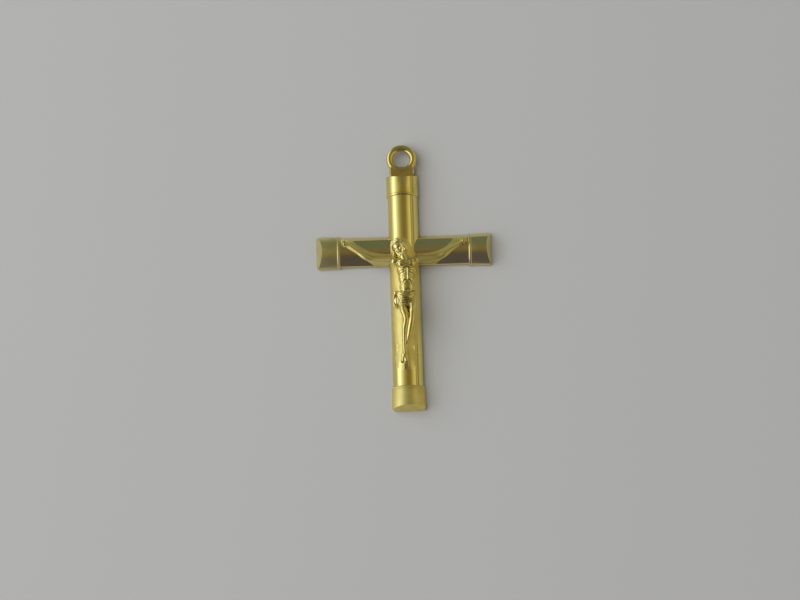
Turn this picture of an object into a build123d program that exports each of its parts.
"""Pendant crucifix in gilt brass, lying on its back.

X runs along the crossbar, Y up the upright towards the hanging eye, Z out of the front.
The origin is on the flat back, in the middle of the outline. Sizes are millimetres.
"""
import math
import os

from build123d import *

os.makedirs("parts", exist_ok=True)

# Reach of the cross from the crossing of its two beams
arm_reach = 12.5
foot_reach = 23.0
top_reach = 11.2

# Half-round tube that both beams are cut from
beam_width = 4.3
upright_crest = 2.0
crossbar_crest = 1.55
side_height = 0.4
tube_wall = 0.4

# End caps, pushed over the tube ends and flared towards their own ends
top_cap_length = 3.3
arm_cap_length = 3.4
foot_cap_length = 3.4
cap_wall = 0.08
top_cap_flare = 0.02
arm_cap_flare = 0.05
foot_cap_flare = 0.14
cap_end_wall = 0.35
upright_end_slope = 15.0
arm_end_slope = 26.0
rim_width = 0.5
rim_rise = 0.08

# Strip through the upright and into both arms, as thick as there is room for
tie_width = 1.8
tie_grip = 3.0

# Hanging eye
eye_bore = 2.4
eye_wire = 0.95
eye_depth = 1.0
eye_round = 0.42
eye_gap = 0.1
eye_height = 1.0
neck_width = 3.2
neck_depth = 0.9
neck_flat = 0.05
tang_width = 1.6
tang_depth = 0.6
tang_grip = 1.2

# Figure: room that it leaves to the caps, and the thin apron that joins it to the beams
hand_gap = 0.65
apron_gap = 1.7
apron_thickness = 0.2

# Nails
nail_radius = 0.15
nail_head_radius = 0.27
nail_head_height = 0.16
nail_sink = 0.08
nail_tail = 0.35

# Fits
push_fit = 0.02
nail_fit = 0.02
solder_gap = 0.02

# Values that follow from the sizes above
eye_radius = eye_bore / 2 + eye_wire
eye_y = top_reach + eye_gap + eye_radius
middle_y = (eye_y + eye_radius - foot_reach) / 2

# The figure is drawn with its apron ending 17.9 below the crossing, and scaled to the room on the upright
unit = (foot_reach - foot_cap_length - apron_gap) / 17.9
hand_reach = arm_reach - arm_cap_length - hand_gap
span = hand_reach / unit
bar_drop = (crossbar_crest - upright_crest) / unit


def front_arc(crest, grow=0.0):
    """Radius and centre height of the rounded front of a beam, grown outwards."""
    rise = crest - side_height
    radius = ((beam_width / 2) ** 2 + rise**2) / (2 * rise)
    return radius + grow, crest - radius


def front_height(crest, offset, grow=0.0):
    """Height of the front of a beam at this distance from its middle line."""
    radius, centre = front_arc(crest, grow)
    return centre + math.sqrt(radius**2 - offset**2)


def section(crest, at, grow=0.0, back=0.0):
    """Half-round outline of a beam in the plane at this distance from the crossing."""
    radius, centre = front_arc(crest, grow)
    top = centre + radius
    sides = Pos(0, (top + back) / 2) * Rectangle(beam_width + 2 * grow, top - back)
    outline = Pos(0, centre) * Circle(radius) & sides
    return Plane((0, at, 0), x_dir=(1, 0, 0), z_dir=(0, -1, 0)) * outline


def beam(crest, start, end, grow=0.0, back=0.0):
    """Half-round bar along Y from start to end, its flat back at the height back."""
    return extrude(section(crest, end, grow, back), amount=end - start)


def block(x, y, z):
    """Box between the two values given for each axis."""
    size = (x[1] - x[0], y[1] - y[0], z[1] - z[0])
    middle = ((x[0] + x[1]) / 2, (y[0] + y[1]) / 2, (z[0] + z[1]) / 2)
    return Pos(*middle) * Box(*size)


def tube_end(crest, reach, flare, end_slope):
    """Distance from the crossing to the end of a tube inside its cap."""
    cap_crest = crest + push_fit + cap_wall + flare
    return reach - cap_crest * math.tan(math.radians(end_slope)) - cap_end_wall


def end_plane(reach, end_slope):
    """Plane of the sloped outer end of a cap."""
    angle = math.radians(end_slope)
    return Plane((0, reach, 0), x_dir=(1, 0, 0), z_dir=(0, math.cos(angle), math.sin(angle)))


def end_cap(crest, reach, flare, end_slope, length):
    """Drawn cap for a tube end that points along Y, open at the back, with a beaded mouth."""
    grow = cap_wall + push_fit
    mouth = reach - length
    shell = loft([section(crest, mouth, grow), section(crest, reach, grow + flare)])
    shell = split(shell, bisect_by=end_plane(reach, end_slope), keep=Keep.BOTTOM)
    radius, centre = front_arc(crest, grow)
    half = beam_width / 2 + grow + rim_rise
    bead = Pos(0, mouth + rim_width / 2, centre) * Rot(90, 0, 0) * Torus(
        radius + rim_rise - rim_width / 2, rim_width / 2
    )
    bead = bead & block((-half, half), (mouth, mouth + rim_width), (0, crest + 1))
    socket = beam(crest, mouth - 1, tube_end(crest, reach, flare, end_slope), push_fit, back=-1)
    return shell + bead - socket


def on_figure(x, y, lift):
    """Point of the figure's drawing, its height counted from the crest of the upright."""
    return Vector(x * unit, y * unit, upright_crest + lift * unit)


def limb(*stations):
    """Rounded limb through drawn stations of x, y, lift, half width and half depth."""
    points = [on_figure(*station[:3]) for station in stations]
    sections = []
    for index, station in enumerate(stations):
        before = points[max(index - 1, 0)]
        after = points[min(index + 1, len(points) - 1)]
        along = (after - before).normalized()
        across = along.cross(Vector(0, 0, 1)).normalized()
        plane = Plane(points[index], x_dir=across, z_dir=along)
        sections.append(plane * Ellipse(station[3] * unit, station[4] * unit))
    return loft(sections)


def mass(place, radii, turn):
    """Egg-shaped mass at a drawn place, with its three half sizes and its turn."""
    radii = tuple(radius * unit for radius in radii)
    return Pos(on_figure(*place)) * Rot(0, 0, turn) * scale(Sphere(1), by=radii)


def nail_tool(x, y, seat, tail, grow=0.0, head_space=0.0):
    """Round-headed nail pointing into the cross, or the room that it needs."""
    shank = Pos(x, y, (seat + tail) / 2) * Cylinder(nail_radius + grow, seat - tail)
    head_height = nail_head_height + head_space
    head = Pos(x, y, seat + head_height / 2) * Cylinder(nail_head_radius + grow, head_height)
    return shank + head


# Beams
upright_solid = beam(upright_crest, -foot_reach, top_reach)
top_end = (upright_crest, top_reach, top_cap_flare, upright_end_slope)
foot_end = (upright_crest, foot_reach, foot_cap_flare, upright_end_slope)
arm_end = (crossbar_crest, arm_reach, arm_cap_flare, arm_end_slope)
upright_top = tube_end(*top_end)
upright_foot = -tube_end(*foot_end)
arm_tip = tube_end(*arm_end)

upright = beam(upright_crest, upright_foot, upright_top)
upright -= beam(upright_crest, upright_foot - 1, upright_top + 1, -tube_wall, back=tube_wall)
arm = beam(crossbar_crest, 0, arm_tip)
arm -= beam(crossbar_crest, -1, arm_tip + 1, -tube_wall, back=tube_wall)

# Tie strip and the slots for it in both sides of the upright
tie_reach = beam_width / 2 + tie_grip
tie_floor = tube_wall + push_fit
tie_top = front_height(crossbar_crest, tie_width / 2, -tube_wall) - push_fit
tie = block((-tie_reach, tie_reach), (-tie_width / 2, tie_width / 2), (tie_floor, tie_top))
slot_half = tie_width / 2 + push_fit
slot = block(
    (-beam_width, beam_width), (-slot_half, slot_half), (tie_floor - push_fit, tie_top + push_fit)
)
upright -= slot

# Caps
top_cap = end_cap(*top_end, top_cap_length)
foot_cap = end_cap(*foot_end, foot_cap_length)
arm_cap = end_cap(*arm_end, arm_cap_length)

# Hanging eye: a ring on a neck that stands on the sloped end of the top cap
ring_section = RectangleRounded(eye_wire, eye_depth, eye_round)
ring_section = Plane.XZ * Pos((eye_bore + eye_wire) / 2, 0) * ring_section
ring = Pos(0, eye_y, eye_height) * revolve(ring_section, Axis.Z)
neck_end = eye_y - eye_bore / 2 + neck_flat
neck = block(
    (-neck_width / 2, neck_width / 2),
    (top_reach - upright_crest, neck_end),
    (eye_height - neck_depth / 2, eye_height + neck_depth / 2),
)
neck = split(neck, bisect_by=end_plane(top_reach, upright_end_slope), keep=Keep.TOP)
tang_x = (-tang_width / 2, tang_width / 2)
tang_y = (upright_top - tang_grip, top_reach)
tang_z = (eye_height - tang_depth / 2, eye_height + tang_depth / 2)
tang = block(tang_x, tang_y, tang_z)
eye = ring + neck + tang
top_cap -= block(
    (tang_x[0] - push_fit, tang_x[1] + push_fit),
    (tang_y[0], top_reach + 1),
    (tang_z[0] - push_fit, tang_z[1] + push_fit),
)

# Figure: trunk, cloth, legs and feet
trunk = limb(
    (0.0, -1.35, -0.15, 0.75, 0.5),
    (0.05, -1.85, 0.0, 1.6, 0.62),
    (0.2, -3.0, 0.05, 1.32, 0.85),
    (0.22, -4.4, 0.05, 1.15, 0.8),
    (0.2, -5.6, 0.0, 1.06, 0.68),
    (0.12, -7.0, 0.0, 1.25, 0.72),
    (0.05, -8.0, 0.0, 1.2, 0.7),
)
cloth = limb(
    (0.15, -6.1, 0.0, 1.12, 0.72),
    (0.1, -6.7, 0.0, 1.36, 0.9),
    (0.0, -7.6, 0.05, 1.42, 0.95),
    (0.0, -8.5, 0.05, 1.25, 0.85),
)
cloth_end = limb(
    (-1.2, -6.2, 0.05, 0.3, 0.4),
    (-1.5, -7.0, -0.1, 0.36, 0.5),
    (-1.6, -8.5, -0.3, 0.24, 0.35),
)
left_leg = limb(
    (-0.75, -7.8, 0.1, 0.64, 0.66),
    (-0.66, -9.2, 0.4, 0.54, 0.6),
    (-0.45, -10.6, 0.65, 0.42, 0.48),
    (-0.46, -12.0, 0.4, 0.4, 0.48),
    (-0.4, -13.7, 0.15, 0.28, 0.36),
    (-0.38, -14.7, 0.12, 0.28, 0.34),
)
right_leg = limb(
    (0.75, -7.8, 0.1, 0.64, 0.66),
    (0.64, -9.2, 0.4, 0.54, 0.6),
    (0.44, -10.4, 0.65, 0.42, 0.48),
    (0.3, -11.9, 0.4, 0.4, 0.48),
    (0.02, -13.5, 0.15, 0.3, 0.36),
    (-0.28, -14.7, 0.1, 0.28, 0.32),
)
feet_middle = (-0.4, -15.5, 0.1)
feet_depth = 0.5
feet = limb(
    (-0.3, -14.1, 0.05, 0.34, 0.4),
    (-0.36, -14.8, 0.1, 0.42, 0.48),
    (*feet_middle, 0.45, feet_depth),
    (-0.4, -16.2, 0.0, 0.4, 0.42),
    (-0.4, -16.7, -0.05, 0.26, 0.26),
)
foot_rest = limb(
    (-0.35, -15.9, 0.0, 0.4, 0.3),
    (-0.3, -16.8, 0.0, 0.44, 0.38),
    (-0.25, -17.6, -0.1, 0.3, 0.14),
)

# Figure: neck, head and hair, leaning to the left
neck_of_figure = limb(
    (0.05, -1.9, 0.1, 0.6, 0.5),
    (-0.3, -1.0, 0.35, 0.45, 0.45),
    (-0.6, -0.2, 0.5, 0.5, 0.5),
)
head = mass((-0.8, 0.1, 0.55), (0.72, 1.05, 0.72), 24)
hair = mass((-0.95, 0.2, 0.3), (1.05, 1.2, 0.78), 24)

# Figure: arms and hands, the hands lying on the crossbar
hand_place = (span, 1.0, bar_drop + 0.02)
hand_depth = 0.32
arms = []
for side in (-1, 1):
    arms.append(
        limb(
            (side * 0.6, -1.9, -0.05, 0.5, 0.5),
            (side * 1.7, -1.75, -0.1, 0.52, 0.55),
            (side * span * 0.39, -1.6, bar_drop + 0.2, 0.46, 0.5),
            (side * span * 0.6, -1.3, bar_drop + 0.05, 0.4, 0.46),
            (side * span * 0.78, -0.45, bar_drop + 0.1, 0.38, 0.42),
            (side * span * 0.94, 0.6, bar_drop + 0.05, 0.25, 0.3),
        )
    )
    place = (side * hand_place[0], *hand_place[1:])
    arms.append(mass(place, (0.62, 0.42, hand_depth), side * 30))

# Figure: apron that follows the fronts of the beams, and its outline on the right, drawn from above
apron_side = beam_width / 2 / unit - 0.2
apron_half = [
    (0, 1.9),
    (1.4, 1.9),
    (1.5, -0.9),
    (span * 0.59, -0.86),
    (span * 0.76, 0.12),
    (span * 0.91, 1.1),
    (span * 0.98, 1.55),
    (span * 1.04, 1.4),
    (span * 1.05, 0.95),
    (span * 0.54, -apron_side),
    (apron_side, -apron_side),
    (apron_side, -10.5),
    (1.35, -14.3),
    (0.8, -17.6),
    (0, -17.9),
]
outline = [(x * unit, y * unit) for x, y in apron_half]
apron_face = make_face(Polyline(*outline, close=True))
apron_face += mirror(apron_face, about=Plane.YZ)
apron = beam(upright_crest, -foot_reach, top_reach, apron_thickness)
apron += Rot(0, 0, 90) * beam(crossbar_crest, -arm_reach, arm_reach, apron_thickness)
apron &= extrude(apron_face, amount=upright_crest + 1)

corpus = trunk + cloth + cloth_end + left_leg + right_leg + feet + foot_rest
corpus += neck_of_figure + hair + head
for piece in arms:
    corpus += piece
corpus += apron
corpus -= beam(upright_crest, -foot_reach, top_reach, solder_gap)
corpus -= Rot(0, 0, 90) * beam(crossbar_crest, -arm_reach, arm_reach, solder_gap)

# Nails through both hands and the feet, their tails inside the tubes
hand_middle = on_figure(*hand_place)
feet_point = on_figure(*feet_middle)
hand_seat = hand_middle.Z + hand_depth * unit - nail_sink
hand_tail = front_height(crossbar_crest, hand_middle.Y, -tube_wall) - nail_tail
feet_seat = feet_point.Z + feet_depth * unit - nail_sink
feet_tail = front_height(upright_crest, feet_point.X, -tube_wall) - nail_tail
nail_places = {
    "left_hand_nail": (-hand_middle.X, hand_middle.Y, hand_seat, hand_tail),
    "right_hand_nail": (hand_middle.X, hand_middle.Y, hand_seat, hand_tail),
    "feet_nail": (feet_point.X, feet_point.Y, feet_seat, feet_tail),
}
arm = Rot(0, 0, -90) * arm - upright_solid
right_arm = arm
left_arm = mirror(arm, about=Plane.YZ)
nails = {}
for name, place in nail_places.items():
    nail = nail_tool(*place)
    rim = nail.edges().group_by(Axis.Z)[-1]
    nails[name] = fillet(rim, nail_head_height * 0.7)
    room = nail_tool(*place, grow=nail_fit, head_space=1)
    corpus -= room
    upright -= room
    left_arm -= room
    right_arm -= room

# Pieces to hand in, moved so that the origin is under the middle of the outline
pieces = {
    "upright": upright,
    "left_arm": left_arm,
    "right_arm": right_arm,
    "cross_tie": tie,
    "top_cap": top_cap,
    "foot_cap": Rot(0, 0, 180) * foot_cap,
    "left_cap": Rot(0, 0, 90) * arm_cap,
    "right_cap": Rot(0, 0, -90) * arm_cap,
    "hanging_eye": eye,
    "corpus": corpus,
    **nails,
}
for name, piece in pieces.items():
    export_step(Pos(0, -middle_y, 0) * piece, f"parts/{name}.step")
    solids = piece.solids()
    box = piece.bounding_box()
    print(name, len(solids), round(sum(s.volume for s in solids), 2), box.min, box.max)
